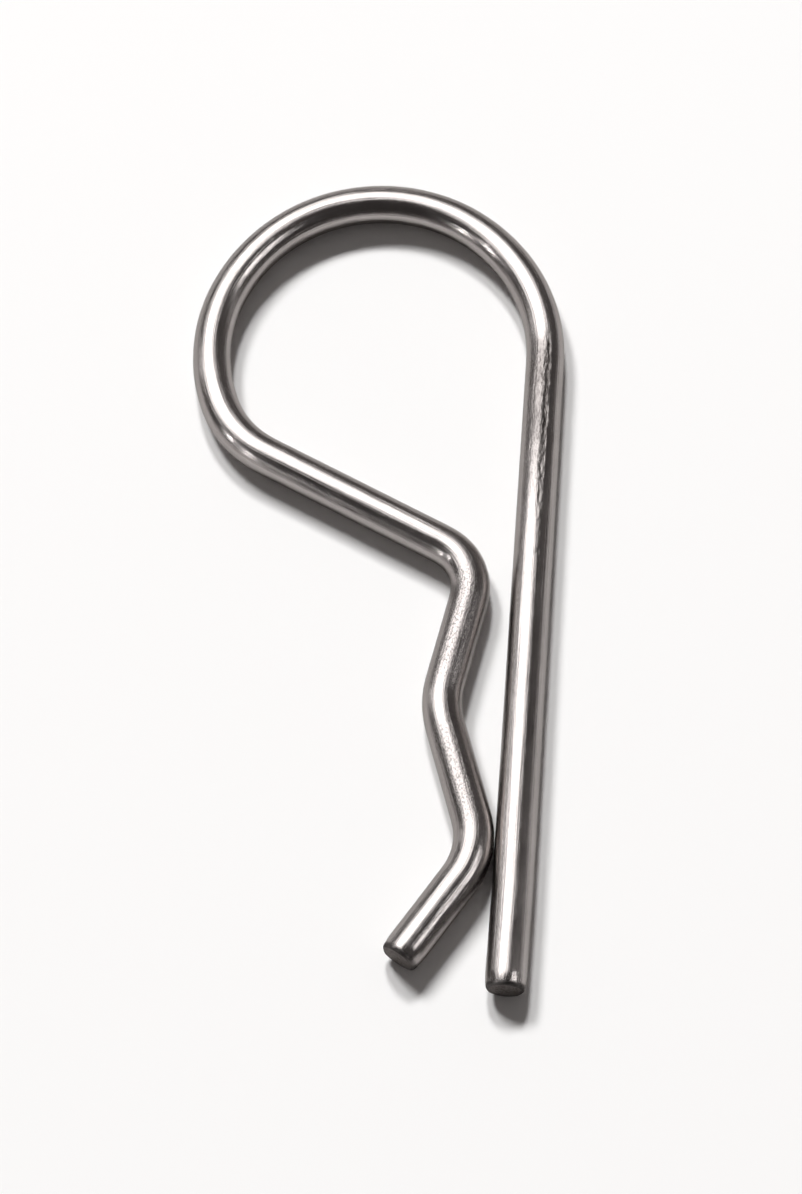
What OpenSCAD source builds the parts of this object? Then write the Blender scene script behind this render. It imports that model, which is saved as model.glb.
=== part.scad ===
// Spring locking pin: one length of round spring wire, bent in one plane into
// a straight leg, an open loop and a waved spring arm that closes on the leg.
// Millimetres. The pin lies flat on z = 0 with the leg along Y, its free tip
// towards -Y and the loop towards +Y. The origin is the middle of the footprint.

/* [Wire] */
// Diameter of the round wire
wire_d = 4; // [2:0.5:8]
// Rounding left on the sheared edge of both ends
edge_round = 0.3; // [0.1:0.05:0.8]

/* [Straight leg] */
// Free tip of the leg, below the place where the arm rests on it
tip_length = 10; // [6:0.5:16]
// Rest of the leg, from that tip up to the loop
leg_length = 58; // [40:1:90]
// Slight set that the leg has at the top of the tip, in degrees
leg_set = 0.66; // [0.6:0.01:2]
// Radius over which the leg takes that set
set_radius = 20; // [10:5:60]

/* [Loop] */
// Centreline radius of the two sides
side_radius = 18.8; // [14:0.2:26]
// Centreline radius of the crown
crown_radius = 16.8; // [12:0.2:24]
// Radius of the tighter corner at the end of the loop
corner_radius = 11; // [8:0.5:16]
// Turn of the side that grows out of the leg, in degrees
near_turn = 55.09; // [40:0.01:70]
// Turn of the crown
crown_turn = 78.86; // [60:0.01:100]
// Turn of the far side
far_turn = 70.24; // [50:0.01:80]
// Turn of the tighter corner
corner_turn = 40.13; // [30:0.01:50]

/* [Spring arm] */
// Radius of the shoulder where the arm turns down beside the leg
shoulder_radius = 5.5; // [4:0.5:10]
// Turn of the shoulder
shoulder_turn = 74.91; // [60:0.01:90]
// Straight run between shoulder and seat
upper_run = 9.4; // [6:0.2:16]
// Radius of the seat, which bows away from the leg to hold a shaft
seat_radius = 9; // [6:0.5:14]
// Turn of the seat
seat_turn = 29.28; // [20:0.01:40]
// Straight run between seat and nose
lower_run = 9.9; // [6:0.1:16]
// Radius of the nose that rests beside the leg
nose_radius = 7.5; // [5:0.5:12]
// Turn of the nose
nose_turn = 50.87; // [40:0.01:60]
// Straight tail that leads away from the leg
tail_length = 9.8; // [6:0.2:16]
// Gap left between the nose and the leg
nose_gap = 0.1; // [0.05:0.05:1]

/* [Hidden] */
$fn = 96;
r = wire_d / 2;

// Direction of travel, in degrees from +X, at the start of each run
h_tip = 90;
h_leg = h_tip + leg_set;
h_crown = h_leg + near_turn;
h_far = h_crown + crown_turn;
h_corner = h_far + far_turn;
h_diagonal = h_corner + corner_turn;
h_upper = h_diagonal - shoulder_turn;
h_lower = h_upper + seat_turn;

// Sideways and forward travel along a left-hand turn of radius q
function side(q, h0, h1) = q * (sin(h1) - sin(h0));
function ahead(q, h0, h1) = q * (cos(h0) - cos(h1));

// The loop's far edge and its crown, measured from the middle of the leg's tip
x_loop = side(set_radius, h_tip, h_leg) + leg_length * cos(h_leg);
y_loop = tip_length + ahead(set_radius, h_tip, h_leg) + leg_length * sin(h_leg);
x_far = x_loop + side(side_radius, h_leg, h_crown)
      + side(crown_radius, h_crown, h_far) + side(side_radius, h_far, 270);
y_crown = y_loop + ahead(side_radius, h_leg, h_crown)
        + ahead(crown_radius, h_crown, 180);

// The diagonal is as long as it takes to bring the nose back beside the leg
x_diagonal = x_far + side(side_radius, 270, h_corner)
           + side(corner_radius, h_corner, h_diagonal);
x_arm = -side(shoulder_radius, h_diagonal, h_upper) + upper_run * cos(h_upper)
      + side(seat_radius, h_upper, h_lower) + lower_run * cos(h_lower)
      - side(nose_radius, h_lower, 270);
diagonal = (-wire_d - nose_gap - x_diagonal - x_arm) / cos(h_diagonal);

// A straight run along +Y, then what follows it
module run(length) {
    rotate([-90, 0, 0]) cylinder(r = r, h = length);
    translate([0, length, 0]) children();
}

// A bend to the left, then what follows it
module left(radius, turn) {
    translate([-radius, 0, 0]) {
        rotate_extrude(angle = turn) translate([radius, 0]) circle(r = r);
        rotate([0, 0, turn]) translate([radius, 0, 0]) children();
    }
}

// A bend to the right, then what follows it
module right(radius, turn) {
    translate([radius, 0, 0]) {
        rotate([0, 0, 180 - turn])
            rotate_extrude(angle = turn) translate([radius, 0]) circle(r = r);
        rotate([0, 0, -turn]) translate([-radius, 0, 0]) children();
    }
}

// A sheared end: a straight run along +Y that starts at a rounded edge
module sheared(length) {
    rotate([-90, 0, 0]) rotate_extrude() {
        translate([0, edge_round]) square([r, length - edge_round]);
        square([r - edge_round, length]);
        translate([r - edge_round, edge_round]) circle(r = edge_round);
    }
}

module locking_pin() {
    color([0.62, 0.61, 0.60])
    translate([-x_far / 2, -(y_crown + r) / 2, r]) {
        sheared(tip_length);
        translate([0, tip_length, 0])
        left(set_radius, leg_set)
        run(leg_length)
        left(side_radius, near_turn)
        left(crown_radius, crown_turn)
        left(side_radius, far_turn)
        left(corner_radius, corner_turn)
        run(diagonal)
        right(shoulder_radius, shoulder_turn)
        run(upper_run)
        left(seat_radius, seat_turn)
        run(lower_run)
        right(nose_radius, nose_turn)
        translate([0, tail_length, 0]) rotate([0, 0, 180]) sheared(tail_length);
    }
}

locking_pin();
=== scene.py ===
import math

import bpy
import numpy as np
from mathutils import Matrix, Vector


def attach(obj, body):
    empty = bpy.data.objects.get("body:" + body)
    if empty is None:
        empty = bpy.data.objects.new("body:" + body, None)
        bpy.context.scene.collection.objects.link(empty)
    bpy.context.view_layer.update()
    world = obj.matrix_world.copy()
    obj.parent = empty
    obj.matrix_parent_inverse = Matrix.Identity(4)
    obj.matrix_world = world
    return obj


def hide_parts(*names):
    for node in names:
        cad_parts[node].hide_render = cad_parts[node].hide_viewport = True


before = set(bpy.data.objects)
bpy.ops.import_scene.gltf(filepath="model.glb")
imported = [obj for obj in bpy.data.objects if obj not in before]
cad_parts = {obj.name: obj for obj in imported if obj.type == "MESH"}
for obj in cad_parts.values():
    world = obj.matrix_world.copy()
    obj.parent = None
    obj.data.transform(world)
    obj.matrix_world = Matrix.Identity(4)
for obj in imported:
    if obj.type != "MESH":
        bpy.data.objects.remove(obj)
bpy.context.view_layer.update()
scene = bpy.context.scene
MM = 0.001


# ---------------------------------------------------------------- camera
# The view is taken from above the leg's tip, tilted back by 25 degrees.
LENS = 36.0 * 2700.0 / 1194.0
EYE = Vector((21.582, -117.844, 248.391)) * MM
turn = (
    Matrix.Rotation(0.149107, 4, "Z")
    @ Matrix.Rotation(math.radians(25.0), 4, "X")
    @ Matrix.Rotation(-0.067514, 4, "Z")
)
cam_data = bpy.data.cameras.new("camera")
cam_data.sensor_fit = "AUTO"
cam_data.sensor_width = 36.0
cam_data.lens = LENS
cam_data.clip_start = 0.005
cam_data.clip_end = 20.0
camera = bpy.data.objects.new("camera", cam_data)
camera.matrix_world = Matrix.Translation(EYE) @ turn
scene.collection.objects.link(camera)
scene.camera = camera


# ---------------------------------------------------------------- the wire's route
R = 2.0                      # wire radius, mm
EDGE = 0.3                   # rounding of the cut edges, mm
HEAD = [("line", 10.0), ("bend", 20.0, 0.66), ("line", 58.0),
        ("bend", 18.8, 55.09), ("bend", 16.8, 78.86), ("bend", 18.8, 70.24),
        ("bend", 11.0, 40.13)]
ARM = [("bend", 5.5, -74.91), ("line", 9.4), ("bend", 9.0, 29.28),
       ("line", 9.9), ("bend", 7.5, -50.87)]
TAIL = 9.8
NOSE_GAP = 0.1


def travel(runs, at, heading):
    """Where a list of runs ends, with headings in degrees from +X."""
    x, y = at
    for run in runs:
        a = math.radians(heading)
        if run[0] == "line":
            x, y = x + run[1] * math.cos(a), y + run[1] * math.sin(a)
        else:
            q = math.copysign(run[1], run[2])
            b = a + math.radians(run[2])
            x, y = x + q * (math.sin(b) - math.sin(a)), y + q * (math.cos(a) - math.cos(b))
            heading += run[2]
    return x, y, heading


x_d, y_d, h_d = travel(HEAD, (0.0, 0.0), 90.0)
x_a, _, h_a = travel(ARM[:-1], (0.0, 0.0), h_d)
x_n, _, _ = travel([("bend", ARM[-1][1], 270.0 - h_a)], (x_a, 0.0), h_a)
DIAGONAL = (-2 * R - NOSE_GAP - x_d - x_n) / math.cos(math.radians(h_d))
RUNS = HEAD + [("line", DIAGONAL)] + ARM + [("line", TAIL)]
LENGTHS = [run[1] if run[0] == "line" else run[1] * abs(math.radians(run[2])) for run in RUNS]
BENDS = [0.0 if run[0] == "line" else math.copysign(1.0 / run[1], run[2]) for run in RUNS]
STARTS = np.concatenate([[0.0], np.cumsum(LENGTHS)])
TOTAL = STARTS[-1]

# The curvature is eased in and out of each bend, as in a wire bent round a former.
STEP = 0.02
s_fine = np.arange(0.0, TOTAL + STEP, STEP)
s_fine[-1] = TOTAL
index = np.clip(np.searchsorted(STARTS, s_fine + 1e-9, side="right") - 1, 0, len(RUNS) - 1)
raw = np.array(BENDS)[index]
half = 1.3
kernel = np.hanning(int(2 * half / STEP) + 3)
kernel /= kernel.sum()
eased = np.convolve(np.pad(raw, len(kernel) // 2, mode="edge"), kernel, mode="valid")[: len(s_fine)]


def integrate(k):
    h = math.radians(90.0) + np.concatenate([[0.0], np.cumsum((k[1:] + k[:-1]) / 2 * np.diff(s_fine))])
    mid = (h[1:] + h[:-1]) / 2
    x = np.concatenate([[0.0], np.cumsum(np.cos(mid) * np.diff(s_fine))])
    y = np.concatenate([[0.0], np.cumsum(np.sin(mid) * np.diff(s_fine))])
    return x, y, h


x_raw, y_raw, _ = integrate(raw)
x_fine, y_fine, h_fine = integrate(eased)
# What the easing moves is given back evenly along the wire, so that it lies on the CAD route.
x_fine += np.interp(s_fine, STARTS, np.interp(STARTS, s_fine, x_raw - x_fine))
y_fine += np.interp(s_fine, STARTS, np.interp(STARTS, s_fine, y_raw - y_fine))
OFF_X = -x_raw.min() / 2
OFF_Y = -(y_raw.max() + R) / 2


# ---------------------------------------------------------------- the wire's surface
rng = np.random.default_rng(41)
AROUND = 82


def smoothstep(a, b, v):
    t = np.clip((v - a) / (b - a), 0.0, 1.0)
    return t * t * (3 - 2 * t)


def within(v, a, b, soft):
    """1 between a and b, falling to 0 over soft on both sides."""
    return smoothstep(a - soft, a, v) * (1 - smoothstep(b, b + soft, v))


# The angle round the wire is 0 on top and +90 degrees to the right of travel. Points lie closer on
# the upper half, which has the marks, and rings lie closer where the surface is marked.
t_fine = np.linspace(0.0, 2 * math.pi, 4001)
crowd = 1 + 1.5 * (1 - smoothstep(0.75, 1.5, np.minimum(t_fine, 2 * math.pi - t_fine)))
crowd = np.concatenate([[0.0], np.cumsum((crowd[1:] + crowd[:-1]) / 2)])
theta = np.interp(np.arange(AROUND) / AROUND, crowd / crowd[-1], t_fine)
turns = np.append(theta / (2 * math.pi), 1.0)
spacing = 0.28 - 0.19 * within(s_fine, 49.0, 71.5, 2.0) - 0.14 * within(s_fine, 164.0, 197.0, 3.0)
spacing = spacing - 0.16 * (1 - within(s_fine, 2.5, TOTAL - 2.5, 1.5))
count = np.concatenate([[0.0], np.cumsum(np.diff(s_fine) / spacing[1:])])
RINGS = int(count[-1])
s_ring = np.interp(np.linspace(0.0, count[-1], RINGS), count, s_fine)
s_ring = EDGE + (s_ring - s_ring[0]) * (TOTAL - 2 * EDGE) / (s_ring[-1] - s_ring[0])

S, T = np.meshgrid(s_ring, theta, indexing="ij")
Tw = (T + math.pi) % (2 * math.pi) - math.pi          # -180 .. 180 degrees, in radians

# Slow unevenness of the drawn wire, a few thousandths of a millimetre.
shape = np.zeros_like(S)
for wave, lobes, size in [(23.0, 2, 0.0045), (11.0, 1, 0.0030), (7.0, 3, 0.0022), (4.3, 2, 0.0014), (2.9, 4, 0.0008)]:
    a, b = rng.uniform(0, 2 * math.pi, 2)
    shape += size * np.sin(2 * math.pi * S / wave + a) * np.cos(lobes * T + b)

# Where the wire is worn. The first is the rubbed and pitted strip on top of the leg, below the
# loop. The others are the duller faces of the arm above and below its seat.
rubbed = smoothstep(43.0, 61.5, s_ring) * (1 - smoothstep(68.6, 71.6, s_ring))
rubbed *= 0.90 + 0.10 * np.sin(s_ring * 1.9) * np.sin(s_ring * 0.83 + 1.0)
strip = rubbed[:, None] * within(Tw, -0.55, 0.22, 0.30) * (0.66 + 0.34 * np.exp(-((Tw - 0.18) / 0.11) ** 2))
dull = np.maximum(within(S, 167.0, 175.5, 4.5), 0.9 * within(S, 185.0, 190.5, 5.0))
dull = dull * (0.12 + 0.88 * np.exp(-((Tw - 0.25) / np.where(Tw < 0.25, 0.90, 0.42)) ** 2))


def dimples(number, s_mid, s_spread, t_mid, t_spread, along, across, depth, zone=None):
    """Small pits, longer along the wire than across it, and shallower where zone is low."""
    global shape
    for _ in range(number):
        s0 = rng.uniform(s_mid - s_spread, s_mid + s_spread)
        t0 = rng.normal(t_mid, t_spread)
        la, lc = rng.uniform(*along), rng.uniform(*across)
        d = rng.uniform(*depth) * (1.0 if zone is None else np.interp(s0, s_ring, zone))
        lo, hi = np.searchsorted(s_ring, [s0 - 3 * la, s0 + 3 * la])
        if hi - lo < 2:
            continue
        ds = (S[lo:hi] - s0) / la
        dt = ((Tw[lo:hi] - t0 + math.pi) % (2 * math.pi) - math.pi) * R / lc
        shape[lo:hi] -= d * np.exp(-(ds ** 2 + dt ** 2))


dimples(400, 60.5, 11.0, 0.17, 0.10, (0.22, 0.75), (0.07, 0.12), (0.006, 0.024), rubbed)
dimples(240, 61.5, 9.5, -0.20, 0.22, (0.22, 0.60), (0.07, 0.12), (0.003, 0.011), rubbed)
dimples(170, 52.5, 7.5, 0.17, 0.09, (0.12, 0.50), (0.07, 0.11), (0.003, 0.011))
dimples(420, 171.5, 6.5, 0.25, 0.45, (0.13, 0.24), (0.09, 0.14), (0.0014, 0.0042))
dimples(360, 188.0, 5.5, 0.20, 0.42, (0.13, 0.24), (0.09, 0.14), (0.0014, 0.0042))
dimples(150, 104.0, 104.0, 0.0, 1.6, (0.10, 0.30), (0.10, 0.20), (0.001, 0.005))
# Rub marks on the outside of the nose, where the arm slides over the shaft.
dimples(14, 195.5, 2.2, -0.95, 0.16, (0.25, 0.7), (0.10, 0.22), (0.006, 0.016))


def rollover(t, lean):
    """How far the shear has dragged the wire in at a cut end, round the wire."""
    return 0.13 + 0.04 * np.cos(t - lean) + 0.012 * np.sin(3 * t + lean)


ROLLED = 1.25                # length of wire over which the shear rolls it in, mm
LEAN_0, LEAN_1 = 0.4, -0.7
shape -= rollover(T, LEAN_0) * (1 - np.clip((S - EDGE) / ROLLED, 0.0, 1.0)) ** 2
shape -= rollover(T, LEAN_1) * (1 - np.clip((TOTAL - EDGE - S) / ROLLED, 0.0, 1.0)) ** 2
radius = R + shape


def ring_frame(s):
    x = np.interp(s, s_fine, x_fine) + OFF_X
    y = np.interp(s, s_fine, y_fine) + OFF_Y
    h = np.interp(s, s_fine, h_fine)
    return x, y, h


def place(s, t, rad, ahead=0.0):
    """A point at arc length s, angle t round the wire and distance rad from its middle, moved along the wire by ahead."""
    x, y, h = ring_frame(s)
    right = rad * np.sin(t)
    return np.stack([x + right * np.sin(h) + ahead * np.cos(h), y - right * np.cos(h) + ahead * np.sin(h), R + rad * np.cos(t)], -1)


FACE = 15        # rings on the flat of a cut end
ROLL = 8         # rings over its rounded edge


def end_rings(sign, lean, burr_at, burr, rolled_in):
    """Rings from the middle of a cut end out over its rounded edge. The face leans a little, is torn
    rough on one half by the shear, and has a low burr along one part of its edge."""
    nicks = sum(rng.normal(0, 0.006) * np.cos(k * theta + rng.uniform(0, 6.28)) for k in range(3, 12))
    narrow = 1 - rolled_in / R + nicks
    grain = rng.normal(0, 1, (FACE, AROUND))
    grain = (grain + np.roll(grain, 1, 1) + np.roll(grain, -1, 1)) / 1.7
    rings = []
    for k in range(FACE):
        f = 0.05 + 0.95 * (k / (FACE - 1)) ** 0.9
        rad = f * (R - EDGE)
        u, v = rad * np.sin(theta), rad * np.cos(theta)
        torn = smoothstep(-0.5, 0.6, -(u * math.sin(burr_at) + v * math.cos(burr_at)) / R)
        deep = lean[0] * u / R + lean[1] * v / R + (0.006 + 0.016 * torn) * grain[k] * (0.4 + 0.6 * f) + 0.03 * torn
        deep = deep * (1 - smoothstep(0.86, 1.0, f)) + (lean[0] * u / R + lean[1] * v / R) * smoothstep(0.86, 1.0, f)
        rings.append((rad * narrow, sign * deep))
    for a in np.linspace(0, math.pi / 2, ROLL + 1)[1:-1]:
        rad = R - EDGE + EDGE * math.sin(a)
        u, v = rad * np.sin(theta), rad * np.cos(theta)
        fade = math.cos(a)
        near = np.exp(-((((theta - burr_at) + math.pi) % (2 * math.pi) - math.pi) / 0.75) ** 2)
        deep = (lean[0] * u / R + lean[1] * v / R) * fade + EDGE * (1 - math.cos(a)) - burr * near * math.sin(2 * a)
        rings.append((rad * narrow + 0.35 * burr * near * math.sin(a), sign * deep))
    return rings


points, wire, cut, worn, matte = [], [], [], [], []


def add_ring(s, rad, ahead, is_cut, is_worn, is_dull):
    points.append(place(s, theta, rad, ahead))
    wire.append(np.stack([s + ahead, rad * np.sin(theta), rad * np.cos(theta)], -1))
    cut.append(np.full(AROUND, float(is_cut)))
    worn.append(is_worn * np.ones(AROUND))
    matte.append(is_dull * np.ones(AROUND))


first = end_rings(1.0, (0.02, 0.05), math.radians(150), 0.05, rollover(theta, LEAN_0))
last = end_rings(-1.0, (-0.03, 0.05), math.radians(130), 0.09, rollover(theta, LEAN_1))
RIM_CUT_AND_SHADE = 0.40                 # the cut's rim, rough finish and painted shade, as it starts on the wire's side; the darkening stands in for the dark room mirrored in the rounded edge


def rim(k):
    return 1.0 if k < FACE else RIM_CUT_AND_SHADE + (0.75 - RIM_CUT_AND_SHADE) * (1 - (k - FACE + 1) / ROLL)


for k, (rad, ahead) in enumerate(first):
    add_ring(np.zeros(AROUND), rad, ahead, rim(k), 0.0, 0.0)
for i in range(RINGS):
    from_cut = min(s_ring[i], TOTAL - s_ring[i]) - EDGE
    add_ring(np.full(AROUND, s_ring[i]), radius[i], 0.0, RIM_CUT_AND_SHADE * math.exp(-(from_cut / 0.27) ** 2), strip[i], dull[i])
for k, (rad, ahead) in reversed(list(enumerate(last))):
    add_ring(np.full(AROUND, TOTAL), rad, ahead, rim(k), 0.0, 0.0)

n_rings = len(points)
co = np.concatenate(points)
tips = np.stack([co[:AROUND].mean(0), co[-AROUND:].mean(0)])
co = np.concatenate([co, tips]) * MM
wire = np.concatenate(wire + [np.array([[0.0, 0.0, 0.0], [TOTAL, 0.0, 0.0]])])
cut = np.concatenate(cut + [np.ones(2)])
worn = np.concatenate(worn + [np.zeros(2)])
matte = np.concatenate(matte + [np.zeros(2)])

ids = np.arange(AROUND)
nxt = (ids + 1) % AROUND
rows = np.arange(n_rings - 1)[:, None] * AROUND
quads = np.stack([rows + ids, rows + nxt, rows + AROUND + nxt, rows + AROUND + ids], -1).reshape(-1, 4)
start_tip, end_tip = n_rings * AROUND, n_rings * AROUND + 1
fan0 = np.stack([np.full(AROUND, start_tip), nxt, ids], -1)
top = (n_rings - 1) * AROUND
fan1 = np.stack([np.full(AROUND, end_tip), top + ids, top + nxt], -1)

mesh = bpy.data.meshes.new("locking_pin_wire")
mesh.from_pydata(co.tolist(), [], quads.tolist() + fan0.tolist() + fan1.tolist())
mesh.update()
mesh.polygons.foreach_set("use_smooth", np.ones(len(mesh.polygons), bool))


def point_floats(name, values):
    mesh.attributes.new(name, "FLOAT", "POINT").data.foreach_set("value", values.astype(np.float32))


# The surface is unrolled into four strips that lie side by side.
STRIPS = 4
ring_mid = co[: n_rings * AROUND].reshape(n_rings, AROUND, 3) / MM
profile = np.concatenate([[0.0], np.cumsum(np.linalg.norm(np.diff(ring_mid, axis=0), axis=2).mean(1))]) + 0.1
strip_of = np.minimum((STRIPS * profile[:-1] / (profile[-1] + 0.1)).astype(int), STRIPS - 1)
uv = np.zeros((len(quads), 4, 2))
tip_uv = np.zeros((2, AROUND, 3, 2))
GAP = 0.01
for k in range(STRIPS):
    mine = np.nonzero(strip_of == k)[0]
    low, high = profile[mine[0]] - 0.1, profile[mine[-1] + 1] + 0.1

    def lay(ring, part):
        u = (k + GAP + (1 - 2 * GAP) * part) / STRIPS
        v = GAP + (1 - 2 * GAP) * (ring - low) / (high - low)
        return np.stack(np.broadcast_arrays(u, v), -1)

    below, above = profile[mine][:, None], profile[mine + 1][:, None]
    cells = (mine[:, None] * AROUND + ids).ravel()
    a, b = turns[:-1], turns[1:]
    for corner, (at_ring, part) in enumerate([(below, a), (below, b), (above, b), (above, a)]):
        uv[cells, corner] = lay(at_ring, part[None, :]).reshape(-1, 2)
    if k == 0:
        for corner, (at_ring, part) in enumerate([(low, (a + b) / 2), (profile[0], b), (profile[0], a)]):
            tip_uv[0, :, corner] = lay(at_ring, part)
    if k == STRIPS - 1:
        for corner, (at_ring, part) in enumerate([(high, (a + b) / 2), (profile[-1], a), (profile[-1], b)]):
            tip_uv[1, :, corner] = lay(at_ring, part)
bake_map = mesh.uv_layers.new(name="OFBake")
bake_map.data.foreach_set("uv", np.concatenate([uv.reshape(-1), tip_uv.reshape(-1)]).astype(np.float32))

mesh.attributes.new("wire", "FLOAT_VECTOR", "POINT").data.foreach_set("vector", wire.astype(np.float32).ravel())
point_floats("cut", cut)
point_floats("worn", worn)
point_floats("dull", matte)

pin = bpy.data.objects.new("locking_pin_wire", mesh)
scene.collection.objects.link(pin)


# ---------------------------------------------------------------- steel
steel = bpy.data.materials.new("spring_steel")
steel.use_nodes = True
nodes, links = steel.node_tree.nodes, steel.node_tree.links
shader = nodes["Principled BSDF"]
shader.inputs["Metallic"].default_value = 1.0
shader.inputs["Specular Tint"].default_value = (0.62, 0.61, 0.60, 1.0)


def node(kind, **values):
    n = nodes.new(kind)
    for key, value in values.items():
        setattr(n, key, value)
    return n


def attribute(name):
    return node("ShaderNodeAttribute", attribute_name=name)


def math_node(op, a, b=None, c=None, clamp=False):
    n = node("ShaderNodeMath", operation=op, use_clamp=clamp)
    for i, v in enumerate((a, b, c)):
        if v is None:
            continue
        if isinstance(v, (int, float)):
            n.inputs[i].default_value = v
        else:
            links.new(v, n.inputs[i])
    return n.outputs[0]


def noise(vector, scale, detail, roughness=0.5):
    n = node("ShaderNodeTexNoise", noise_dimensions="3D")
    n.inputs["Scale"].default_value = scale
    n.inputs["Detail"].default_value = detail
    n.inputs["Roughness"].default_value = roughness
    links.new(vector, n.inputs["Vector"])
    return n.outputs["Fac"]


def stretched(vector, along, round_):
    n = node("ShaderNodeVectorMath", operation="MULTIPLY")
    links.new(vector, n.inputs[0])
    n.inputs[1].default_value = (along, round_, round_)
    return n.outputs[0]


def ramp(value, low, high, to_low=0.0, to_high=1.0):
    n = node("ShaderNodeMapRange", clamp=True)
    links.new(value, n.inputs["Value"])
    for key, v in (("From Min", low), ("From Max", high), ("To Min", to_low), ("To Max", to_high)):
        n.inputs[key].default_value = v
    return n.outputs["Result"]


w = attribute("wire").outputs["Vector"]
on_cut = attribute("cut").outputs["Fac"]
on_worn = attribute("worn").outputs["Fac"]
on_dull = attribute("dull").outputs["Fac"]

draw_lines = noise(stretched(w, 0.045, 2.8), 1.0, 5.0, 0.65)     # drawing lines along the wire
fine_lines = noise(stretched(w, 0.20, 9.0), 1.0, 2.0, 0.5)
grain = noise(stretched(w, 2.4, 4.2), 1.0, 4.0, 0.7)             # fine pitting
cloud = noise(stretched(w, 0.22, 0.5), 1.0, 3.0, 0.55)           # slow change of finish
specks = ramp(noise(stretched(w, 4.0, 6.5), 1.0, 2.0, 0.55), 0.50, 0.62)
dashes = ramp(noise(stretched(w, 1.4, 6.5), 1.0, 2.0, 0.6), 0.51, 0.57)
worn_mask = math_node("MULTIPLY", on_worn, ramp(noise(stretched(w, 0.7, 3.0), 1.0, 4.0, 0.6), 0.34, 0.60), clamp=True)

# colour: neutral steel, a little warm, darker where it is pitted and on the torn cut, with painted shade on the
# rounded rims of the cut ends
tone = node("ShaderNodeMix", data_type="RGBA")
tone.inputs["A"].default_value = (0.312, 0.288, 0.279, 1.0)
tone.inputs["B"].default_value = (0.384, 0.357, 0.347, 1.0)
links.new(math_node("ADD", ramp(cloud, 0.35, 0.65, 0.0, 0.5), ramp(draw_lines, 0.35, 0.65, 0.0, 0.5)), tone.inputs["Factor"])
pitted = node("ShaderNodeMix", data_type="RGBA")
pitted.inputs["B"].default_value = (0.034, 0.029, 0.027, 1.0)
links.new(tone.outputs["Result"], pitted.inputs["A"])
dirt = math_node("MULTIPLY", on_worn, math_node("ADD", math_node("MULTIPLY", dashes, 0.42), 0.84))
dirt = math_node("ADD", dirt, math_node("MULTIPLY", on_dull, math_node("ADD", math_node("MULTIPLY", specks, 0.24), 0.20)))
dirt = math_node("ADD", dirt, math_node("MULTIPLY", specks, 0.10), clamp=True)
links.new(dirt, pitted.inputs["Factor"])
torn = node("ShaderNodeMix", data_type="RGBA")
torn.inputs["B"].default_value = (0.085, 0.074, 0.069, 1.0)
links.new(pitted.outputs["Result"], torn.inputs["A"])
links.new(math_node("MULTIPLY", on_cut, ramp(grain, 0.38, 0.62, 0.62, 1.0)), torn.inputs["Factor"])
# painted shade: the rounded rims of the cut ends and the wire just beside them are darkened nearly to black, standing
# in for the dark room reflected there
edge = math_node("MULTIPLY", ramp(on_cut, 0.10, 0.40), ramp(on_cut, 0.70, 1.0, 1.0, 0.0))
painted_rim_shade = node("ShaderNodeMix", data_type="RGBA")
painted_rim_shade.inputs["B"].default_value = (0.035, 0.032, 0.031, 1.0)
links.new(torn.outputs["Result"], painted_rim_shade.inputs["A"])
links.new(math_node("MULTIPLY", edge, ramp(cloud, 0.3, 0.6, 0.5, 0.95)), painted_rim_shade.inputs["Factor"])
links.new(painted_rim_shade.outputs["Result"], shader.inputs["Base Color"])

# gloss
rough = ramp(cloud, 0.3, 0.7, 0.14, 0.20)
rough = math_node("ADD", rough, ramp(draw_lines, 0.35, 0.7, 0.0, 0.06))
rough = math_node("ADD", rough, math_node("MULTIPLY", on_worn, 0.10))
rough = math_node("ADD", rough, math_node("MULTIPLY", worn_mask, 0.12))
rough = math_node("ADD", rough, math_node("MULTIPLY", on_dull, 0.05))
rough = math_node("ADD", rough, math_node("MULTIPLY", on_cut, 0.30), clamp=True)
links.new(rough, shader.inputs["Roughness"])

# relief too fine for the mesh
height = math_node("MULTIPLY", draw_lines, 0.85)
height = math_node("ADD", height, math_node("MULTIPLY", fine_lines, 0.14))
grain_amount = math_node("ADD", math_node("MULTIPLY", worn_mask, 1.0), math_node("MULTIPLY", on_dull, 0.65))
grain_amount = math_node("ADD", grain_amount, math_node("MULTIPLY", on_cut, 1.2))
grain_amount = math_node("ADD", grain_amount, 0.12)
height = math_node("ADD", height, math_node("MULTIPLY", grain, grain_amount))
relief = node("ShaderNodeBump")
relief.inputs["Strength"].default_value = 0.6
relief.inputs["Distance"].default_value = 0.00008
links.new(height, relief.inputs["Height"])
links.new(relief.outputs["Normal"], shader.inputs["Normal"])

mesh.materials.append(steel)
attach(pin, "root")
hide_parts("locking_pin")


# ---------------------------------------------------------------- floor
floor_mesh = bpy.data.meshes.new("floor")
n = 128
floor_mesh.from_pydata([(4.0 * math.cos(2 * math.pi * k / n), 4.0 * math.sin(2 * math.pi * k / n), 0.0) for k in range(n)], [], [tuple(range(n))])
floor = bpy.data.objects.new("floor", floor_mesh)
scene.collection.objects.link(floor)
paper = bpy.data.materials.new("floor")
paper.use_nodes = True
pale = paper.node_tree.nodes["Principled BSDF"]
pale.inputs["Base Color"].default_value = (0.90, 0.895, 0.89, 1.0)
pale.inputs["Roughness"].default_value = 1.0
pale.inputs["Specular IOR Level"].default_value = 0.0
floor_mesh.materials.append(paper)


# ---------------------------------------------------------------- light
FAR = 5.0


def toward(across, back):
    """A direction given as degrees from straight up, towards +X and +Y."""
    a = math.radians(math.hypot(across, back))
    p = math.atan2(back, across)
    return Vector((math.sin(a) * math.cos(p), math.sin(a) * math.sin(p), math.cos(a)))


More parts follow.
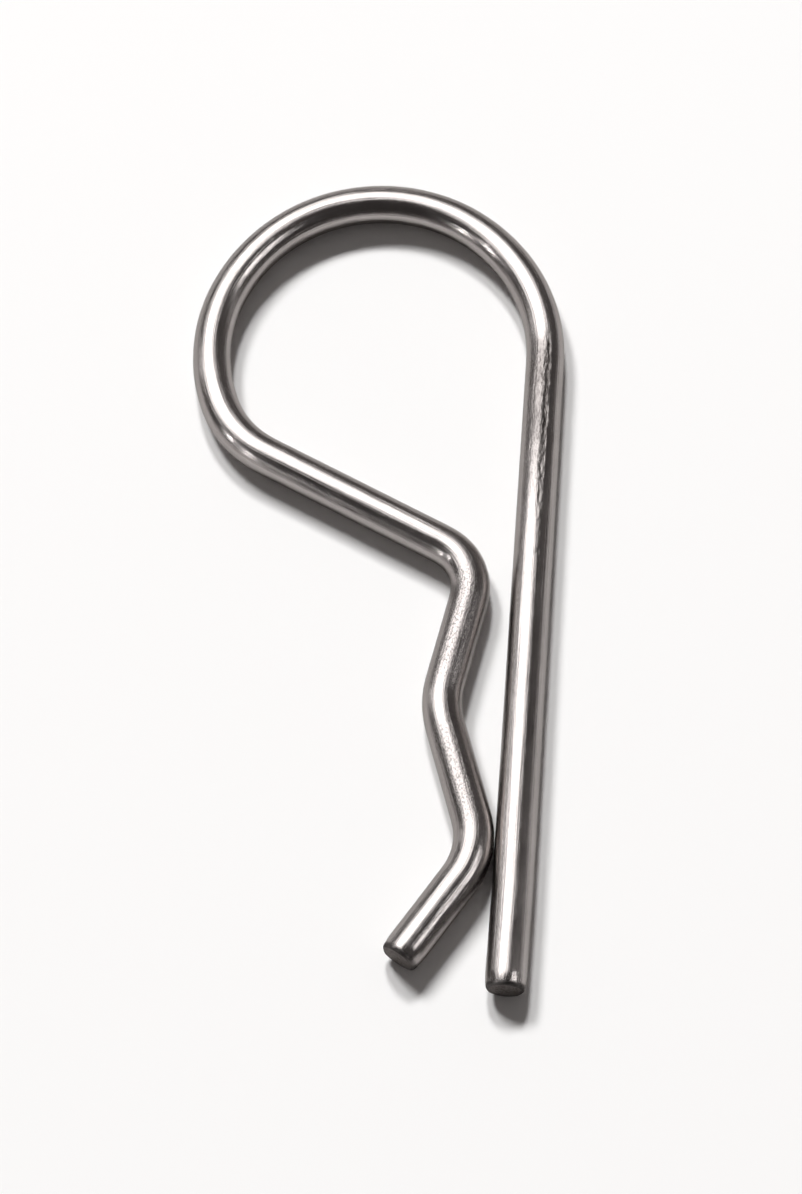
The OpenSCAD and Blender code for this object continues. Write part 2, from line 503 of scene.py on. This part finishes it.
def softbox(name, across, back, half_w, half_h, radiance, spin=0.0, round_=True, lights=True, shows=True, core=None):
    """An area light far off in that direction, of that half width and height in degrees.
    With core, it is even out to that part of its half width and fades from there to its rim."""
    data = bpy.data.lights.new(name, "AREA")
    if core is not None:
        data.use_nodes = True
        tree = data.node_tree
        spot = tree.nodes.new("ShaderNodeNewGeometry")
        from_mid = tree.nodes.new("ShaderNodeVectorMath")
        from_mid.operation = "DISTANCE"
        from_mid.inputs[1].default_value = (0.5, 0.5, 0.0)
        tree.links.new(spot.outputs["Parametric"], from_mid.inputs[0])
        fade = tree.nodes.new("ShaderNodeMapRange")
        fade.interpolation_type = "SMOOTHSTEP"
        for key, v in (("From Min", 0.5 * core), ("From Max", 0.5), ("To Min", 1.0), ("To Max", 0.0)):
            fade.inputs[key].default_value = v
        tree.links.new(from_mid.outputs["Value"], fade.inputs["Value"])
        tree.links.new(fade.outputs["Result"], tree.nodes["Emission"].inputs["Strength"])
    data.shape = "ELLIPSE" if round_ else "RECTANGLE"
    data.size = 2 * FAR * math.tan(math.radians(half_w))
    data.size_y = 2 * FAR * math.tan(math.radians(half_h))
    area = data.size * data.size_y * (math.pi / 4 if round_ else 1.0)
    data.energy = radiance * area * math.pi
    o = bpy.data.objects.new(name, data)
    d = toward(across, back)
    o.matrix_world = Matrix.Translation(d * FAR) @ (-d).to_track_quat("-Z", "Y").to_matrix().to_4x4() @ Matrix.Rotation(math.radians(spin), 4, "Z")
    o.visible_camera = False
    o.visible_diffuse = lights
    o.visible_glossy = shows
    scene.collection.objects.link(o)
    return o


# what shows in the metal
softbox("window", -21, 26, 40, 33, 5.2, lights=False, core=0.25)
softbox("lamp_right", 48.5, -3, 15, 7.5, 5.0, lights=False)
softbox("lamp_low", 76, 24, 9, 3.5, 0.8, lights=False)
softbox("lamp_left_low", -69, 25.5, 7, 6, 1.9, lights=False)
softbox("lamp_left_a", -60, -22, 2.2, 1.8, 60.0, lights=False)
softbox("lamp_left_b", -57, -45, 2.2, 1.8, 60.0, lights=False)
# what lights the floor and throws the shadow
softbox("key", -8, 42, 4.5, 4.5, 100.0, shows=False)
softbox("fill", -25, 36, 6, 6, 63.0, shows=False)

world = bpy.data.worlds.new("room")
scene.world = world
world.use_nodes = True
wn, wl = world.node_tree.nodes, world.node_tree.links
bg = wn["Background"]
coord = wn.new("ShaderNodeTexCoord")
split = wn.new("ShaderNodeSeparateXYZ")
wl.new(coord.outputs["Generated"], split.inputs[0])
back = wn.new("ShaderNodeMapRange")
for key, v in (("From Min", -0.5), ("From Max", 0.9), ("To Min", 0.065), ("To Max", 0.15)):
    back.inputs[key].default_value = v
wl.new(split.outputs["Y"], back.inputs["Value"])
level = wn.new("ShaderNodeMapRange")
for key, v in (("From Min", 0.0), ("From Max", 0.35), ("To Min", 0.12), ("To Max", 0.0)):
    level.inputs[key].default_value = v
wl.new(split.outputs["Z"], level.inputs["Value"])
seen = wn.new("ShaderNodeLightPath")
lift = wn.new("ShaderNodeMath")
lift.operation = "MULTIPLY_ADD"
wl.new(seen.outputs["Is Diffuse Ray"], lift.inputs[0])
lift.inputs[1].default_value = 0.035
wl.new(level.outputs["Result"], lift.inputs[2])
total = wn.new("ShaderNodeMath")
wl.new(back.outputs["Result"], total.inputs[0])
wl.new(lift.outputs[0], total.inputs[1])
mix = wn.new("ShaderNodeMix")
mix.data_type = "FLOAT"
wl.new(seen.outputs["Is Camera Ray"], mix.inputs["Factor"])
wl.new(total.outputs[0], mix.inputs["A"])
mix.inputs["B"].default_value = 0.9
wl.new(mix.outputs["Result"], bg.inputs["Strength"])
warm = wn.new("ShaderNodeMix")
warm.data_type = "RGBA"
warm.inputs["A"].default_value = (1.0, 0.93, 0.91, 1.0)
warm.inputs["B"].default_value = (1.0, 0.99, 0.985, 1.0)
wl.new(seen.outputs["Is Camera Ray"], warm.inputs["Factor"])
wl.new(warm.outputs["Result"], bg.inputs["Color"])

scene.view_settings.view_transform = "Standard"
scene.view_settings.look = "None"
